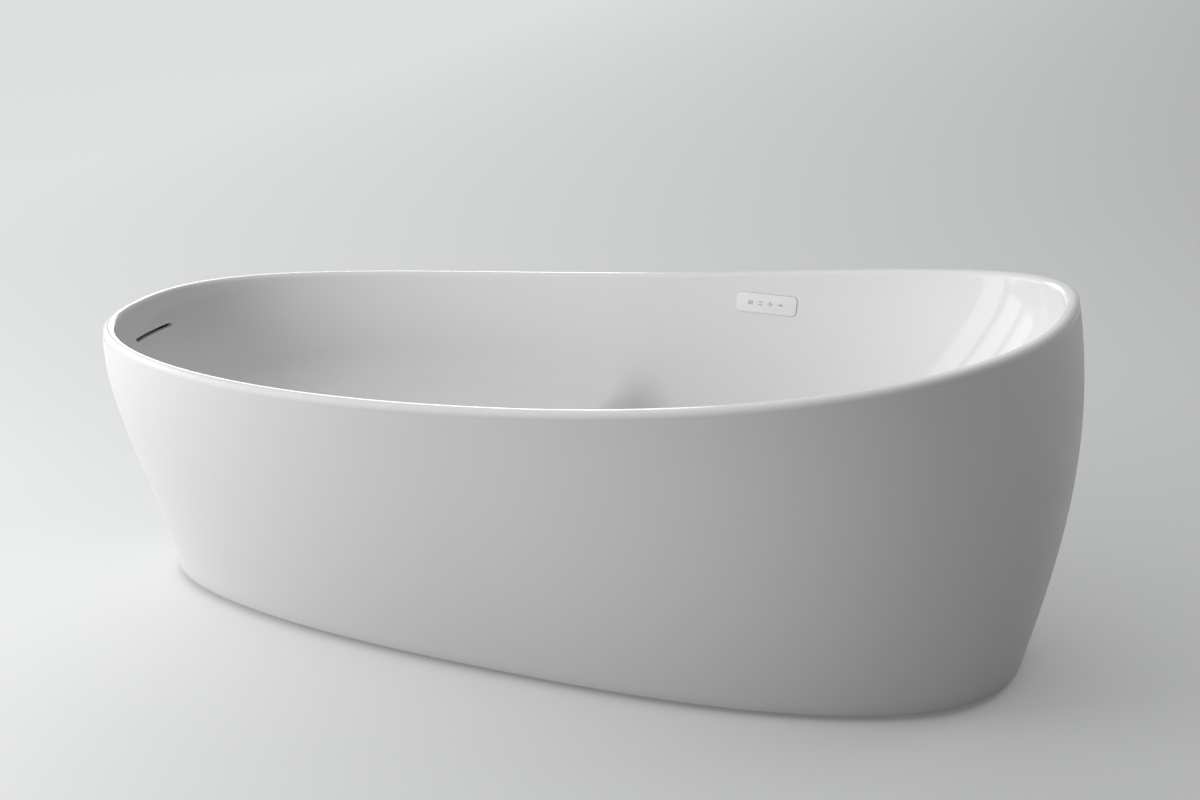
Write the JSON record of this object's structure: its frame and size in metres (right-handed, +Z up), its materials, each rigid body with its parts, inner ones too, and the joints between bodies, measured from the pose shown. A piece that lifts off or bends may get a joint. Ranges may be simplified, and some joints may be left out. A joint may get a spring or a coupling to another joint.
{
  "type": "freestanding oval bathtub",
  "caption": "Freestanding oval reclining bathtub with a satin outer wall, a glossy seated basin, a rising rim, a slot overflow, a pop-up waste, massage fittings and a touch panel.",
  "frame": {"origin": "on the floor under the middle of the tub", "axes": "+X to the high head end, +Y to the long side that carries the control panel, +Z up"},
  "size_m": [2.1996, 1.0501, 0.79],
  "materials": {
    "basin_gloss_white": "high gloss white acrylic",
    "apron_satin_white": "satin white acrylic",
    "chrome_trim": "polished chrome",
    "black_rubber": "plain black rubber",
    "grey_pipe_plastic": "plain grey pipe plastic",
    "panel_white": "smooth white touch plate",
    "dark_plastic": "moulded dark plastic",
    "painted_frame_steel": "grey powder coat",
    "board_wood": "raw board",
    "zinc_steel": "zinc plated",
    "lens_glass": "clear lens",
    "motor_aluminium": "cast finned housing",
    "box_plastic": "light grey box"
  },
  "bodies": {
    "tub": {"apron": "apron_satin_white", "apron_brackets": "painted_frame_steel", "back_nuts": "grey_pipe_plastic", "base_frame": "painted_frame_steel", "basin": "basin_gloss_white", "bracket_screws": "zinc_steel", "control_box": "box_plastic", "control_box_lid": "box_plastic", "drain_body": "grey_pipe_plastic", "drain_flange": "chrome_trim", "drain_gasket": "black_rubber", "drain_washer": "grey_pipe_plastic", "fan_cover": "dark_plastic", "floor_board": "board_wood", "header_pipe": "grey_pipe_plastic", "jet_bodies": "grey_pipe_plastic", "jet_rings": "chrome_trim", "lid_screws": "zinc_steel", "light_body": "grey_pipe_plastic", "light_lens": "lens_glass", "light_ring": "chrome_trim", "lock_nuts": "zinc_steel", "overflow_pipe": "grey_pipe_plastic", "overflow_seal": "black_rubber", "overflow_tray": "grey_pipe_plastic", "panel_housing": "dark_plastic", "panel_plate": "panel_white", "panel_seal": "black_rubber", "platform_board": "board_wood", "platform_uprights": "painted_frame_steel", "popup_cartridge": "grey_pipe_plastic", "pressure_pipe": "grey_pipe_plastic", "pump_backplate": "dark_plastic", "pump_motor": "motor_aluminium", "pump_saddle": "painted_frame_steel", "pump_tray": "painted_frame_steel", "pump_volute": "dark_plastic", "suction_body": "grey_pipe_plastic", "suction_grille": "chrome_trim", "suction_pipe": "grey_pipe_plastic", "trap_body": "grey_pipe_plastic", "wall_seals": "black_rubber", "waste_pipe": "grey_pipe_plastic"},
    "waste_plug": {"waste_plug": "chrome_trim", "plug_seal": "black_rubber"},
    "pump_rotor": {"pump_impeller": "dark_plastic", "pump_shaft": "zinc_steel"},
    "foot_1": {"foot_pad_1": "black_rubber", "foot_stud_1": "zinc_steel"},
    "foot_2": {"foot_pad_2": "black_rubber", "foot_stud_2": "zinc_steel"},
    "foot_3": {"foot_pad_3": "black_rubber", "foot_stud_3": "zinc_steel"},
    "foot_4": {"foot_pad_4": "black_rubber", "foot_stud_4": "zinc_steel"},
    "foot_5": {"foot_pad_5": "black_rubber", "foot_stud_5": "zinc_steel"},
    "foot_6": {"foot_pad_6": "black_rubber", "foot_stud_6": "zinc_steel"}
  },
  "joints": [
    {"name": "waste_plug_lift", "type": "slide", "parent": "tub", "child": "waste_plug", "axis": [0, 0, 1], "range_m": [0, 0.01]},
    {"name": "pump_rotor_spin", "type": "hinge", "parent": "tub", "child": "pump_rotor", "pos_m": [-0.19, -0.11, 0.19], "axis": [-1, 0, 0], "continuous": true},
    {"name": "foot_1_level", "type": "slide", "parent": "tub", "child": "foot_1", "axis": [0, 0, -1], "range_m": [0, 0.015]},
    {"name": "foot_2_level", "type": "slide", "parent": "tub", "child": "foot_2", "axis": [0, 0, -1], "range_m": [0, 0.015]},
    {"name": "foot_3_level", "type": "slide", "parent": "tub", "child": "foot_3", "axis": [0, 0, -1], "range_m": [0, 0.015]},
    {"name": "foot_4_level", "type": "slide", "parent": "tub", "child": "foot_4", "axis": [0, 0, -1], "range_m": [0, 0.015]},
    {"name": "foot_5_level", "type": "slide", "parent": "tub", "child": "foot_5", "axis": [0, 0, -1], "range_m": [0, 0.015]},
    {"name": "foot_6_level", "type": "slide", "parent": "tub", "child": "foot_6", "axis": [0, 0, -1], "range_m": [0, 0.015]}
  ]
}
